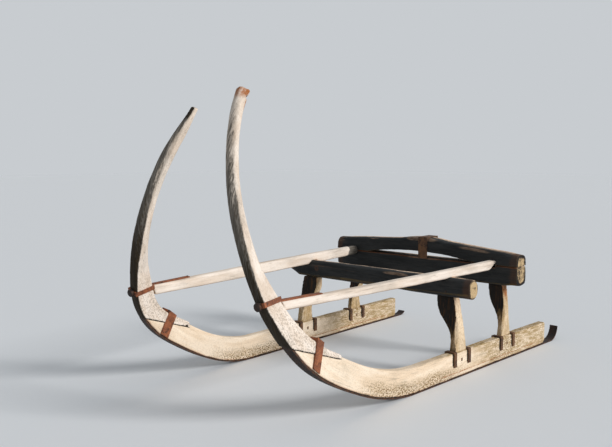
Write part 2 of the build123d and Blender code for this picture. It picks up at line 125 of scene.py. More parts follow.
# Painted shade on the front of each horn, black low down and greyer higher up: height and share
horn_front_painted_shade = {
    "left": [
        (0.3, 0.8), (0.5, 0.75), (0.62, 0.55), (0.8, 0.38), (0.92, 0.28), (1.05, 0.24), (1.08, 0.1),
    ],
    "right": [
        (0.3, 0.9), (0.5, 0.85), (0.64, 0.66), (0.8, 0.46), (0.95, 0.34), (1.01, 0.4), (1.04, 1.0),
    ],
}


# Numbers on the vertices

def smooth(low, high, value):
    """Rises from 0 at low to 1 at high, softly."""
    t = np.clip((value - low) / (high - low), 0, 1)
    return t * t * (3 - 2 * t)


def fade(low, high, value):
    """Falls from 1 at low to 0 at high, softly."""
    return 1 - smooth(low, high, value)


def window(rise, fall, value):
    """Rises over the first pair of limits and falls again over the second."""
    return smooth(*rise, value) * fade(*fall, value)


def lumps(place, seed):
    """Smooth noise from 0 to 1 with one lump per unit."""
    lattice = np.random.default_rng(seed).random((lattice_size,) * 3)
    cell = np.floor(place).astype(int)
    part = place - cell
    part = part * part * (3 - 2 * part)
    total = np.zeros(len(place))
    for corner in np.ndindex(2, 2, 2):
        share = np.abs(1 - np.array(corner) - part).prod(axis=1)
        x, y, z = ((cell + corner) % lattice_size).T
        total += share * lattice[x, y, z]
    return total


def read_vectors(rows, key):
    out = np.empty(len(rows) * 3)
    rows.foreach_get(key, out)
    return out.reshape(-1, 3)


def vertices(mesh):
    return read_vectors(mesh.vertices, "co")


def normals(mesh):
    return read_vectors(mesh.vertex_normals, "vector")


def set_vertices(mesh, points):
    mesh.vertices.foreach_set("co", points.ravel())
    mesh.update()


def relax(mesh, points, rounds, share):
    """Smooths the surface and keeps its volume: each step in is followed by one out."""
    edges = np.empty(len(mesh.edges) * 2, dtype=np.int64)
    mesh.edges.foreach_get("vertices", edges)
    a, b = edges.reshape(-1, 2).T
    size = len(points)
    count = np.bincount(a, minlength=size) + np.bincount(b, minlength=size)
    share = np.broadcast_to(share, size)[:, None]
    for step in range(2 * rounds):
        total = np.zeros_like(points)
        for axis in range(3):
            for here, there in ((a, b), (b, a)):
                total[:, axis] += np.bincount(here, weights=points[there, axis], minlength=size)
        way = 1 if step % 2 == 0 else -outward_step
        points = points + way * share * (total / count[:, None] - points)
    return points


def set_attribute(mesh, name, kind, values):
    attribute = mesh.attributes.new(name, kind, "POINT")
    key = "vector" if kind == "FLOAT_VECTOR" else "color"
    attribute.data.foreach_set(key, values.ravel())


def set_marks(mesh, dark=0, spots=0, end=0, brown=0, moss=0, rust=0, worn=0, lines=0):
    """Shares up to 1 on each vertex, which the timber materials read in fours."""
    fours = {"marks": (dark, spots, end, brown), "stains": (moss, rust, worn, lines)}
    for name, shares in fours.items():
        rows = [np.clip(np.broadcast_to(share, len(mesh.vertices)), -1, 1) for share in shares]
        set_attribute(mesh, name, "FLOAT_COLOR", np.stack(rows, 1))


# Meshes cut or copied from the nodes

def link(obj):
    bpy.context.scene.collection.objects.link(obj)
    return obj


def shade_smooth(mesh):
    mesh.polygons.foreach_set("use_smooth", [True] * len(mesh.polygons))


def node_box(name):
    points = vertices(nodes[name].data)
    return points.min(0), points.max(0)


def welded(*node_names):
    """The meshes of these nodes in one, with the corners of their faces joined."""
    work = bmesh.new()
    for name in node_names:
        work.from_mesh(nodes[name].data)
    bmesh.ops.remove_doubles(work, verts=work.verts, dist=weld_distance)
    return work


def cut(work, place, normal, clear=False):
    geometry = work.verts[:] + work.edges[:] + work.faces[:]
    bmesh.ops.bisect_plane(work, geom=geometry, plane_co=place, plane_no=normal, clear_outer=clear)


def close_holes(work):
    open_edges = [edge for edge in work.edges if len(edge.link_faces) == 1]
    bmesh.ops.holes_fill(work, edges=open_edges)


def new_mesh(work, name):
    mesh = bpy.data.meshes.new(name)
    work.to_mesh(mesh)
    work.free()
    return mesh


def worn_copy(name, node_names, voxel):
    """One closed, evenly meshed copy of these nodes, for wear and grain."""
    mesh = new_mesh(welded(*node_names), name)
    rough = link(bpy.data.objects.new(name + "_rough", mesh))
    remesh = rough.modifiers.new("remesh", "REMESH")
    remesh.mode = "VOXEL"
    remesh.voxel_size = voxel
    evaluated = rough.evaluated_get(bpy.context.evaluated_depsgraph_get())
    even = bpy.data.meshes.new_from_object(evaluated)
    bpy.data.objects.remove(rough)
    bpy.data.meshes.remove(mesh)
    even.name = name
    shade_smooth(even)
    return even


def finish_piece(name, mesh, material, node_names):
    piece = link(bpy.data.objects.new(name, mesh))
    mesh.materials.clear()
    mesh.materials.append(material)
    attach(piece, "root")
    if node_names:
        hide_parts(*node_names)


def finish_timber(name, mesh, material, slot, grain, **marks):
    """Keeps the grain and the marks on the worn copy, which then stands for its node."""
    set_attribute(mesh, "grain", "FLOAT_VECTOR", grain)
    set_marks(mesh, **marks)
    finish_piece("timber_" + name, mesh, material, [name])


# Directions and places along the sled's sides

def turn_to_side(rows, side, start=(0, 0)):
    """From the frame's axes into the side's own: along the runner, outward, up."""
    x, y = rows[:, 0] - start[0], rows[:, 1] * outward_sign[side] - start[1]
    return np.stack([toe_cos * x - toe_sin * y, toe_sin * x + toe_cos * y, rows[:, 2]], 1)


def side_of(points, side):
    return turn_to_side(points, side, (rear_end_x, half_track))


def front_curve(side):
    """Points of the front curve in the side's axes, the length to each, and its slope there."""
    x, z, angle = rise_start[side], shoe_thickness, 0.0
    length = x
    rows = [(0.0, z, 0.0, 0.0), (x, z, length, angle)]
    for radius, turn in front_bends[side]:
        steps = max(2, int(turn))
        for step in range(1, steps + 1):
            a = math.radians(angle + turn * step / steps)
            b = math.radians(angle)
            rows.append((
                x + radius * (math.sin(a) - math.sin(b)),
                z + radius * (math.cos(b) - math.cos(a)),
                length + radius * (a - b), a,
            ))
        angle += turn
        x, z, length = rows[-1][:3]
    return np.array(rows)


def along_curve(points, side):
    """Length along the front curve, distance behind it, and slope, for points in side axes."""
    curve = front_curve(side)
    best = np.full(len(points), np.inf)
    length, behind, slope = np.zeros((3, len(points)))
    for a, b in zip(curve, curve[1:]):
        run = b[:2] - a[:2]
        size = run @ run
        offset = points[:, [0, 2]] - a[:2]
        share = np.clip(offset @ run / size, 0, 1)
        gap = offset - share[:, None] * run
        distance = np.hypot(gap[:, 0], gap[:, 1])
        near = distance < best
        best[near] = distance[near]
        length[near] = (a[2] + share * (b[2] - a[2]))[near]
        slope[near] = (a[3] + share * (b[3] - a[3]))[near]
        inward = (gap[:, 1] * run[0] - gap[:, 0] * run[1]) / math.sqrt(size)
        behind[near] = inward[near]
    return length, behind, slope


def follow_front(points, side):
    """Points in the side's axes, their place on the front curve, and the grain along it."""
    here = side_of(points, side)
    length, behind, slope = along_curve(here, side)
    return here, length, behind, slope, np.stack([length, here[:, 1], behind], 1)


def front_share(facing, slope):
    """How far each normal looks out of the front curve, from -1 to 1."""
    return facing[:, 0] * np.sin(slope) - facing[:, 2] * np.cos(slope)


def weather(mesh, points, grain, seed, flute, lump, edge):
    """Wears the surface: shallow flutes along the grain, soft lumps, and rounded edges.

    flute and lump are depths in metres, and edge is the share of the edges that is worn.
    Each noise has its lumps per metre along and across the grain.
    """
    points = relax(mesh, points, 2, 0.5)
    worn = relax(mesh, points, 8, 0.6)
    share = edge * smooth(0.35, 0.75, lumps(grain * (12, 20, 20), seed + 1))
    points = points + share[:, None] * (worn - points)
    set_vertices(mesh, points)
    depth = flute * smooth(0.45, 0.9, lumps(grain * (5, 110, 110), seed + 2))
    depth += flute * 0.7 * smooth(0.5, 0.9, lumps(grain * (9, 220, 220), seed + 3))
    depth += lump * (lumps(grain * (14, 24, 24), seed + 4) - 0.5)
    set_vertices(mesh, points - normals(mesh) * depth[:, None])


# Materials

def colour(*values):
    """Linear colour from the usual 0 to 255 values."""
    shares = [value / 255 for value in values]
    return (*(v / 12.92 if v <= 0.04045 else ((v + 0.055) / 1.055) ** 2.4 for v in shares), 1)


class Nodes:
    """Short ways to add nodes to one material."""

    def __init__(self, name):
        self.material = bpy.data.materials.new(name)
        self.material.use_nodes = True
        self.tree = self.material.node_tree

    def join(self, value, socket):
        """Links another node to the socket, or sets the socket to a number or colour."""
        if isinstance(value, (int, float, tuple)):
            socket.default_value = value
        else:
            self.tree.links.new(value, socket)

    def add(self, kind, inputs=None, **settings):
        """A new node with these settings and inputs."""
        node = self.tree.nodes.new(kind)
        for key, value in settings.items():
            setattr(node, key, value)
        for key, value in (inputs or {}).items():
            self.join(value, node.inputs[key])
        return node

    def surface(self, inputs):
        """The material, with these inputs on its shader."""
        for key, value in inputs.items():
            self.join(value, self.tree.nodes["Principled BSDF"].inputs[key])
        return self.material

    def channels(self, name):
        """The four numbers of a vertex attribute."""
        source = self.add("ShaderNodeAttribute", attribute_name=name)
        split = self.add("ShaderNodeSeparateColor", {0: source.outputs["Color"]})
        return (*split.outputs, source.outputs["Alpha"])

    def parts(self, vector):
        return self.add("ShaderNodeSeparateXYZ", {0: vector}).outputs

    def noise(self, place, scale, offset=(0, 0, 0), detail=3.0, roughness=0.55, distortion=0.0):
        """Noise whose lumps per metre along and across the grain are given by scale."""
        inputs = {"Vector": place, "Scale": scale, "Location": offset}
        stretched = self.add("ShaderNodeMapping", inputs).outputs[0]
        return self.add("ShaderNodeTexNoise", {
            "Vector": stretched, "Scale": 1.0, "Detail": detail, "Roughness": roughness,
            "Distortion": distortion,
        }).outputs["Fac"]

    def ramp(self, value, low, high, start=0.0, end=1.0):
        """Goes softly from start, where the value is low, to end, where it is high."""
        return self.add("ShaderNodeMapRange", {
            "Value": value, "From Min": low, "From Max": high, "To Min": start, "To Max": end,
        }, interpolation_type="SMOOTHSTEP").outputs["Result"]

    def times(self, a, b):
        return self.add("ShaderNodeMath", {0: a, 1: b}, operation="MULTIPLY").outputs[0]

    def plus(self, a, b):
        return self.add("ShaderNodeMath", {0: a, 1: b}, operation="ADD").outputs[0]

    def minus(self, a, b):
        return self.add("ShaderNodeMath", {0: a, 1: b}, operation="SUBTRACT").outputs[0]

    def absolute(self, value):
        return self.add("ShaderNodeMath", {0: value}, operation="ABSOLUTE").outputs[0]

    def mix(self, share, a, b):
        """Colour a, with this share of colour b."""
        return self.add("ShaderNodeMix", {0: share, 6: a, 7: b}, data_type="RGBA").outputs[2]

    def bump(self, height, distance, strength):
        inputs = {"Height": height, "Distance": distance, "Strength": strength}
        return self.add("ShaderNodeBump", inputs).outputs["Normal"]


# silver and deep brown are the default colours of painted shade; deep brown also darkens cracks in
# end grain
silver = colour(116, 104, 88)
deep_brown = colour(44, 35, 26)
moss_green = colour(150, 120, 60)
rust_brown = colour(160, 94, 46)


def timber(
    name, pale, tan, grey, black, stain, cut_end, bare,
    streak=0.5, crack=0.5, speck=0.5, mottle=0.4, ragged=1.0, shade=(silver, deep_brown),
):
    """Weathered wood: streaks and cracks along the grain, patches, spots and stains.

    cut_end is the colour of end grain, and shade the two colours where the dark begins.
    """
    m = Nodes(name)
    grain = m.add("ShaderNodeAttribute", attribute_name="grain").outputs["Vector"]
    dark, spots, end, brown = m.channels("marks")
    moss, rust, worn, lines = m.channels("stains")

    broad = m.noise(grain, (4, 30, 30), detail=4)
    fine = m.noise(grain, (14, 260, 260), detail=4, roughness=0.6)
    patch = m.noise(grain, (7, 13, 13), (3, 1, 2), detail=3)
    cloud = m.noise(grain, (38, 85, 85), (1, 4, 2), detail=4, roughness=0.65)
    line = m.noise(grain, (1.6, 75, 75), (5, 0, 1), detail=2, distortion=0.3)
    dots = m.noise(grain, (130, 210, 210), detail=2)
    grit = m.noise(grain, (300, 420, 420), (2, 5, 3), detail=3)
    cracked = m.noise(grain, (30, 70, 70), detail=4, roughness=0.7)

    # clean wood, then wear, the painted light of the beams' lit tops, and stains
    darker = tuple(0.5 * c for c in tan[:3]) + (1,)
    wood = m.mix(m.ramp(broad, 0.38, 0.64), pale, tan)
    wood = m.mix(m.ramp(patch, 0.5, 0.72, 0, 0.5), wood, grey)
    wood = m.mix(m.ramp(cloud, 0.5, 0.72, 0, mottle), wood, tan)
    wood = m.mix(m.ramp(fine, 0.5, 0.74, 0, streak), wood, darker)
    wood = m.mix(m.times(worn, m.ramp(cloud, 0.36, 0.56, 0.3, 1)), wood, bare)
    wood = m.mix(m.times(brown, m.ramp(broad, 0.3, 0.6, 0.55, 1)), wood, stain)
    moss_share = m.times(moss, m.ramp(m.plus(fine, cloud), 0.8, 1.1, 0.25, 0.9))
    wood = m.mix(moss_share, wood, moss_green)
    wood = m.mix(m.times(rust, m.ramp(cloud, 0.3, 0.6, 0.3, 1)), wood, rust_brown)

    # the groove above the runner's sole, and cracks where the long noise crosses its middle
    from_line = m.absolute(m.minus(m.parts(grain)["Z"], sole_line_height))
    groove = m.times(lines, m.ramp(from_line, 0.0008, 0.0022, 1, 0))
    wood = m.mix(m.times(groove, m.ramp(cloud, 0.4, 0.55, 0.3, 1)), wood, rust_brown)
    gap = m.absolute(m.minus(line, 0.5))
    crack_share = m.times(m.ramp(gap, 0.004, 0.012, 1, 0), m.ramp(patch, 0.42, 0.6, 0, crack))
    wood = m.mix(crack_share, wood, black)

    # lichen: pale crust with brown spots between
    wood = m.mix(m.times(spots, m.ramp(dots, 0.38, 0.49, 0.7, 0)), wood, bare)
    freckle = m.times(m.ramp(dots, 0.51, 0.60), m.plus(spots, 0.02))
    wood = m.mix(m.times(freckle, speck), wood, stain)
    pinprick = m.times(m.ramp(grit, 0.66, 0.74), m.plus(spots, 0.35))
    wood = m.mix(m.times(pinprick, speck), wood, darker)

    # end grain: rings round the heart and cracks across them
    rings = m.add("ShaderNodeTexWave", {
        "Vector": grain, "Scale": 70.0, "Distortion": 5.0, "Detail": 3.0,
    }, wave_type="RINGS", rings_direction="X").outputs["Fac"]
    sawn = m.mix(m.ramp(rings, 0.2, 0.9, 0, 0.4), cut_end, stain)
    sawn = m.mix(m.ramp(cracked, 0.52, 0.64, 0, 0.7), sawn, deep_brown)
    wood = m.mix(m.times(end, 0.95), wood, sawn)

    # painted shade and shadows, and the dark of end grain and pegs: first grey-brown, then near
    # black
    edge = m.plus(dark, m.ramp(broad, 0.3, 0.7, -0.16 * ragged, 0.16 * ragged))
    edge = m.plus(edge, m.ramp(fine, 0.35, 0.65, -0.08, 0.08))
    wood = m.mix(m.ramp(edge, 0.14, 0.42), wood, m.mix(m.ramp(fine, 0.42, 0.62), *shade))
    near_black = m.mix(m.ramp(fine, 0.5, 0.75, 0, 0.6), black, stain)
    wood = m.mix(m.ramp(edge, 0.45, 0.8), wood, near_black)

    relief = m.minus(m.times(m.plus(fine, cloud), 0.5), crack_share)
    return m.surface({
        "Base Color": wood, "Roughness": m.ramp(fine, 0.3, 0.8, 0.72, 0.92),
        "Specular IOR Level": 0.25, "Normal": m.bump(relief, 0.0015, 0.5),
    })


def rusty(name, deep, rust, bright, black, edge=None):
    """Old wrought iron: brown rust with brighter and blacker patches, pitted.

    edge is the colour of the faces that look to the left or the right; on the black iron it is rust
    brown with painted light, and the black of its other faces is partly painted shade.
    """
    m = Nodes(name)
    place = m.add("ShaderNodeTexCoord").outputs["Object"]
    patch = m.noise(place, (28, 28, 28), detail=4)
    grit = m.noise(place, (260, 260, 260), detail=3)
    spots = m.noise(place, (60, 60, 60), (2, 0, 1), detail=3)
    base = m.mix(m.ramp(patch, 0.38, 0.62), deep, rust)
    base = m.mix(m.ramp(grit, 0.5, 0.7, 0, 0.7), base, bright)
    base = m.mix(m.ramp(spots, 0.55, 0.7, 0, 0.8), base, black)
    if edge:
        facing = m.add("ShaderNodeNewGeometry").outputs["True Normal"]
        share = m.ramp(m.absolute(m.parts(facing)["Y"]), 0.75, 0.95)
        base = m.mix(m.times(share, m.ramp(spots, 0.4, 0.55, 1, 0.25)), base, edge)
    return m.surface({
        "Base Color": base, "Metallic": 0.15, "Roughness": m.ramp(grit, 0.3, 0.7, 0.6, 0.9),
        "Normal": m.bump(m.plus(patch, grit), 0.0008, 0.6),
    })


bleached = timber(
    "bleached_timber", pale=colour(250, 230, 205), tan=colour(234, 209, 179),
    grey=colour(206, 188, 162), black=colour(34, 25, 18), stain=colour(112, 84, 50),
    cut_end=colour(150, 118, 80), bare=colour(250, 232, 208),
    streak=0.15, crack=0.3, speck=1.0, mottle=0.75,
)
horn_timber = timber(
    "horn_timber", pale=colour(245, 230, 215), tan=colour(224, 204, 184),
    grey=colour(196, 184, 170), black=colour(38, 30, 18), stain=colour(92, 76, 50),
    cut_end=colour(170, 130, 84), bare=colour(246, 232, 216),
    streak=0.25, crack=0.3, speck=0.5, ragged=0.35,
    shade=(colour(110, 104, 96), colour(88, 81, 72)),
)
knee = timber(
    "knee_timber", pale=colour(240, 216, 184), tan=colour(212, 180, 138),
    grey=colour(200, 182, 152), black=colour(24, 20, 17), stain=colour(122, 80, 40),
    cut_end=colour(150, 112, 70), bare=colour(236, 212, 180),
    streak=0.4, crack=0.5, speck=0.8,
    shade=(colour(118, 94, 60), colour(58, 44, 28)),
)
# The beams: dark weathered wood made near black with painted shade; bare is the pale of their
# painted lit tops
dark_wood_with_painted_shade = timber(
    "dark_timber", pale=colour(46, 47, 47), tan=colour(29, 31, 32),
    grey=colour(56, 57, 57), black=colour(9, 9, 9), stain=colour(88, 60, 42),
    cut_end=colour(214, 184, 138), bare=colour(236, 204, 174),
    streak=0.6, crack=0.7, speck=0.3,
    shade=(colour(58, 44, 34), colour(28, 22, 18)),
)
iron = rusty(
    "rusty_iron", deep=colour(112, 62, 38), rust=colour(152, 88, 54),
    bright=colour(190, 124, 80), black=colour(44, 28, 20),
)
staple_iron = rusty(
    "staple_iron", deep=colour(70, 46, 30), rust=colour(108, 74, 46),
    bright=colour(140, 100, 64), black=colour(30, 21, 16),
)
# black iron: rust brown with painted light on the faces that look to the side, and black partly
# painted shade on the rest
black_iron = rusty(
    "black_iron", deep=colour(26, 21, 19), rust=colour(48, 33, 25),
    bright=colour(92, 58, 36), black=colour(13, 11, 11), edge=colour(88, 56, 34),
)


# The sled's timber: regions of each piece, in metres, and what marks them

def add_runner(side, seed):
    """Plank: lichen on its belly, stains at the rear, dark pegs, painted shade on the faces that
    look out of the front curve, and painted shadows just ahead of its staples.
    """
    name = "runner_" + side
    pegs = ["peg_front_" + side, "peg_rear_" + side]
    mesh = worn_copy("timber_" + name, [name, *pegs], beam_voxel)
    points = vertices(mesh)
    here, length, behind, slope, grain = follow_front(points, side)
    weather(mesh, points, grain, seed, flute=0.0006, lump=0.0008, edge=0.5)
    facing = turn_to_side(normals(mesh), side)
    ragged = lumps(grain * (30, 60, 60), seed + 5)

    belly = window((0.6, 0.9), (1.2, 1.4), length) * fade(0.03, 0.075, behind + 0.02 * ragged)
    rear = fade(0.42, 0.74, length)
    rear_patch = window((0.2, 0.3), (0.42, 0.5), length)
    top = smooth(0.4, 0.8, facing[:, 2]) * fade(0.75, 1.05, length)
    rim = smooth(0.085, 0.1, behind) * fade(0.8, 1.05, length)
    straight = window((0.06, 0.12), (0.8, 1.0), length)
    foot = fade(0.002, 0.007, behind)
    below_line = straight * fade(0.012, 0.018, behind)
    dark_pegs_and_staple_shadows = np.zeros(len(points))
    for place in ("front", "rear"):
        low, high = node_box(f"peg_{place}_{side}")
        middle = (low + high) / 2
        gap = np.hypot(points[:, 0] - middle[0], points[:, 2] - middle[2])
        dark_pegs_and_staple_shadows = np.maximum(dark_pegs_and_staple_shadows, fade(0.0045, 0.0085, gap))
        for part in ("ahead", "behind"):
            low, high = node_box(f"staple_{place}_{part}_{side}")
            # painted shadow of the staple on the plank, a strip just ahead of it
            beside = window((-0.003, 0), (0.003, 0.007), points[:, 0] - high[0])
            above = smooth(0.002, 0.01, points[:, 2] - low[2])
            dark_pegs_and_staple_shadows = np.maximum(dark_pegs_and_staple_shadows, 0.85 * beside * above)

    # painted shade on the faces that look out of the front curve
    shaded = smooth(0.5, 0.9, front_share(facing, slope))
    green = (0.7 + 0.3 * ragged) * rear + 0.6 * belly
    finish_timber(
        name, mesh, bleached, "bleached_timber", grain,
        dark=0.75 * shaded + 0.35 * fade(0.0, 0.004, behind) + dark_pegs_and_staple_shadows,
        spots=0.85 * belly + 0.4 * rear_patch + 0.15 * rear + 0.1,
        end=smooth(0.6, 0.9, -facing[:, 0]) * (here[:, 0] < 0.03),
        brown=0.4 * belly * ragged,
        moss=green + 0.6 * top * (0.4 + ragged) + 0.5 * rim * ragged,
        rust=0.85 * foot, worn=0.9 * below_line, lines=straight,
    )


def add_horn(side, seed):
    """Horn: rounded above its foot, with painted shade on its front, black at the foot and greyer
    higher up.
    """
    name = "horn_" + side
    mesh = worn_copy("timber_" + name, [name], thin_voxel)
    points = vertices(mesh)
    here, _, behind, slope, grain = follow_front(points, side)
    height = here[:, 2]
    points = relax(mesh, points, 18, 0.3 + 0.35 * smooth(0.48, 0.62, height))
    weather(mesh, points, grain, seed, flute=0.0007, lump=0.001, edge=0.5)
    facing = turn_to_side(normals(mesh), side)

    front = front_share(facing, slope)
    # painted shade on the faces that look out of the front curve, reaching less far round the horn
    # higher up
    dark_starts = np.interp(height, (0.6, 0.95), (0.15, 0.45 if side == "right" else 0.3))
    dark = smooth(0.0, 0.5, front - dark_starts)
    dark = dark * np.interp(height, *zip(*horn_front_painted_shade[side]))
    root = fade(0.36, 0.5, height)
    from_tip = points[:, 2].max() - points[:, 2]
    if side == "right":
        gap = np.hypot(points[:, 0] - foot_hole[0], points[:, 2] - foot_hole[1])
        dark = dark + 1.2 * fade(0.004, 0.008, gap)
        rust = 0
    else:
        rust = fade(0.03, 0.055, from_tip + 0.02 * lumps(grain * (40, 60, 60), seed + 5))
        streak = window((0.014, 0.03), (0.036, 0.044), behind) * fade(0.07, 0.12, from_tip)
        rust = rust + 0.9 * streak * smooth(0.35, 0.6, lumps(grain * (12, 90, 90), seed + 6))

    upward = np.cos(slope) * facing[:, 0] + np.sin(slope) * facing[:, 2]
    back_high = smooth(0.5, 0.9, -front) * (height > 0.5)
    finish_timber(
        name, mesh, horn_timber, "bleached_timber", grain + (grain_shift * seed, 0, 0),
        dark=dark, spots=0.15 + 0.5 * root,
        end=smooth(0.7, 0.95, upward) * (from_tip < 0.06),
        # the brown on the faces that look forward, above the root, is painted shade too
        brown=0.4 * smooth(0.05, 0.4, front) * (1 - root) + 0.25 * back_high,
        rust=rust,
    )


def add_strut(side, seed):
    """Long rail: grey and brown near the bolster with a ragged edge, on the right one a painted
    shadow of the bolster; painted shade and rust brown underneath, and brown on the front beam.
    """
    name = "strut_" + side
    mesh = worn_copy("timber_" + name, [name], thin_voxel)
    points = vertices(mesh)
    if side == "left":
        # the rear end was cut to a wedge
        taper = fade(strut_end_x - 0.005, strut_end_x + 0.05, points[:, 0])
        points[:, 2] += wedge_cut * taper * (points[:, 2].max() - points[:, 2])
    grain = side_of(points, side)
    weather(mesh, points, grain, seed, flute=0.0005, lump=0.001, edge=0.5)
    facing = turn_to_side(normals(mesh), side)

    along, height = grain[:, 0], grain[:, 2]
    # painted shade, and rust brown, on the faces that look down
    under = smooth(0.5, 0.9, -facing[:, 2])
    ragged_edge = 0.02 * lumps(grain * (8, 90, 90), seed + 5)
    if side == "left":
        rear = fade(0.40, 0.425, along + ragged_edge) * fade(0.418, 0.424, height)
        crossing = 0
    else:
        # painted shadow of the bolster, with a slanting edge
        rear = fade(0.47, 0.48, along + 0.5 * (height - 0.416) + ragged_edge)
        crossing = np.exp(-((along - 0.72) / 0.035) ** 2) * fade(0.39, 0.405, height)
    finish_timber(
        name, mesh, horn_timber, "bleached_timber", grain + (grain_shift * seed, 0, 0),
        dark=0.42 * rear + 0.2 * under, spots=0.05,
        end=smooth(0.8, 0.95, np.abs(facing[:, 0])),
        brown=0.5 * rear, rust=0.45 * under + 0.8 * crossing,
    )


def chamfer(points, width):
    """Cuts back the corner between the front and the outer side, level by level."""
    outward = np.sign(points[:, 1].mean())
    level = np.round(points[:, 2] / chamfer_level).astype(int)
    level -= level.min()
    reach = points[:, :2] * (1, outward)
    furthest = np.full((level.max() + 1, 2), -np.inf)
    np.maximum.at(furthest, level, reach)
    gap = (furthest[level] - reach).sum(axis=1)
    back = np.clip(width - gap, 0, None) / 2
    return points - np.stack([back, back * outward, 0 * back], 1)


def add_post(place, side, seed):
    """Post: painted shade on its front, black above and brown below, pale beside it, with a rusty
    crest and a green foot.
    """
    name = f"post_{place}_{side}"
    mesh = worn_copy("timber_" + name, [name], thin_voxel)
    points = vertices(mesh)
    height = points[:, 2]
    if side == "left":
        waist = window((0.115, 0.14), (0.2, 0.27), height)
        points = chamfer(points, post_chamfer[place] * waist)
    grain = points[:, upright_grain]
    weather(mesh, points, grain, seed, flute=0.0008, lump=0.0012, edge=0.7)
    facing = normals(mesh)
    ragged = lumps(grain * (14, 60, 60), seed)

    high = smooth(0.16, 0.25, height + 0.07 * (ragged - 0.5))
    crest = smooth(0.25, 0.31, height + 0.04 * (ragged - 0.5))
    # painted shade on the faces that look forward, black high up and brown lower down, and a little
    # on the crest where it looks away from the near side
    front = smooth(0.35, 0.8, facing[:, 0]) * fade(0.42, 0.62, facing[:, 1])
    near_side = smooth(0.3, 0.8, facing[:, 1])
    lip = window((0.3, 0.45), (0.6, 0.75), np.abs(facing[:, 1]))
    deep = 0.9 if side == "left" or place == "front" else 0.6
    green = 0.5 if side == "right" else 0.25 * (place == "rear")
    crest_rust = 1.0 if place == "rear" else 0.25
    finish_timber(
        name, mesh, knee, "knee_timber", grain + (grain_shift * seed, 0, 0),
        dark=front * (0.25 + deep * high) + 0.2 * crest * (1 - near_side), spots=0.3,
        end=smooth(0.9, 1, facing[:, 2]), brown=0.6 * front * (1 - high) + 0.3 * crest,
        moss=0.3 * fade(0.12, 0.2, height) + green,
        rust=crest_rust * crest * near_side + 0.6 * lip * high,
    )


def add_beam(name, seed):
    """Beam across the sled. The two bolster beams were split from one log and share its rings."""
    mesh = worn_copy("timber_" + name, [name], beam_voxel)
    points = vertices(mesh)
    low, high = points.min(0), points.max(0)
    end_dark = 0.0
    if name.startswith("bolster"):
        low[2], high[2] = bolster_ends
        end_dark = bolster_end_dark
    centre = (low + high) / 2
    from_end = np.minimum(points[:, 1] - low[1], high[1] - points[:, 1])
    # the ends are rounded: a square section drawn part of the way in to its oval
    u, w = ((points - centre) / ((high - low) / 2))[:, [0, 2]].T
    square, oval = np.maximum(np.abs(u), np.abs(w)), np.hypot(u, w)
    inset = end_rounding[name] * (square / np.maximum(oval, 1e-6) - 1)
    draw = inset * fade(0.0, rounding_length, from_end) * np.clip(square, 0, 1) ** 2
    points[:, [0, 2]] += draw[:, None] * (points - centre)[:, [0, 2]]
    grain = (points - centre * (1, 0, 1))[:, across_grain]
    points = relax(mesh, points, 6, 0.5 * fade(0.0, 0.03, from_end))
    weather(mesh, points, grain, seed, flute=0.0009, lump=0.0016, edge=0.9)
    facing = normals(mesh)
    ragged = lumps(grain * (6, 60, 60), seed + 5)

    upward = facing[:, 2]
    end = smooth(0.55, 0.85, np.abs(facing[:, 1])) * (from_end < 0.03)
    length_side = 1 - end
    edge_noise = lumps(grain * (40, 60, 60), seed + 6)
    rim = smooth(0.78, 0.92, oval * (1 + inset) + 0.1 * (edge_noise - 0.5))
    bark = fade(0.03, 0.045, from_end + 0.012 * ragged) * length_side
    back = (high[0] - points[:, 0]) / (high[0] - low[0])
    # painted light: the upward faces toward the back take the pale bare colour as a lit top, and
    # less dark
    top = smooth(0.3, 0.6, upward) * smooth(0.45, 0.57, back + 0.15 * (ragged - 0.5))
    lower_lip = window((0.2, 0.45), (0.7, 0.9), -upward) * length_side
    flecks = smooth(0.6, 0.72, lumps(grain * (7, 70, 70), seed + 7))
    flecks = flecks * smooth(0.1, 0.5, upward) * length_side
    seam_lip = knot = 0
    if name == "bolster_lower":
        seam_lip = smooth(0.3, 0.6, upward) * fade(0.1, 0.2, back) * length_side
    if name == "front_beam":
        gap = np.hypot(points[:, 1] - knot_place[0], points[:, 2] - knot_place[1])
        knot = smooth(0.3, 0.6, facing[:, 0]) * np.exp(-((gap - knot_radius) / 0.003) ** 2)
    finish_timber(
        name, mesh, dark_wood_with_painted_shade, "dark_timber", grain + (grain_shift * seed, 0, 0),
        dark=end * (0.6 * rim + end_dark) - 0.3 * top, end=end,
        brown=0.5 * bark + 0.35 * seam_lip + 0.8 * knot + 0.5 * flecks,
        moss=0.3 * lower_lip * smooth(0.35, 0.6, ragged),
        worn=1.2 * top + 0.35 * flecks, rust=0.3 * seam_lip + 0.05 * knot,
    )


# The sled's iron

def add_scarf_band(side):
    """Rusty band over the scarf, whose legs end at the iron shoe, and the places of its nails."""
    name = "scarf_band_" + side
    widen, lean, leg_end = scarf_bands[side]
    work = welded(name)
    points = np.array([v.co[:] for v in work.verts])
    _, behind, slope = along_curve(side_of(points, side), side)
    centre, angle = Vector(points.mean(0)), slope.mean()
    ahead = Vector((toe_cos, -toe_sin * outward_sign[side], 0))
    upward = Vector((0, 0, 1))
    along = ahead * math.cos(angle) + upward * math.sin(angle)
    inward = upward * math.cos(angle) - ahead * math.sin(angle)
    cut(work, centre - inward * (behind.mean() - leg_end), -inward, clear=True)
    close_holes(work)
    for v in work.verts:
        offset = v.co - centre
        v.co += along * ((widen - 1) * offset.dot(along) + lean * offset.dot(inward))
    finish_piece(name + "_worn", new_mesh(work, name + "_worn"), iron, [name])
    places = [centre + inward * band_nail_depth + along * shift for shift in band_nail_shifts]
    return [(place, inward, band_nail_radius) for place in places]


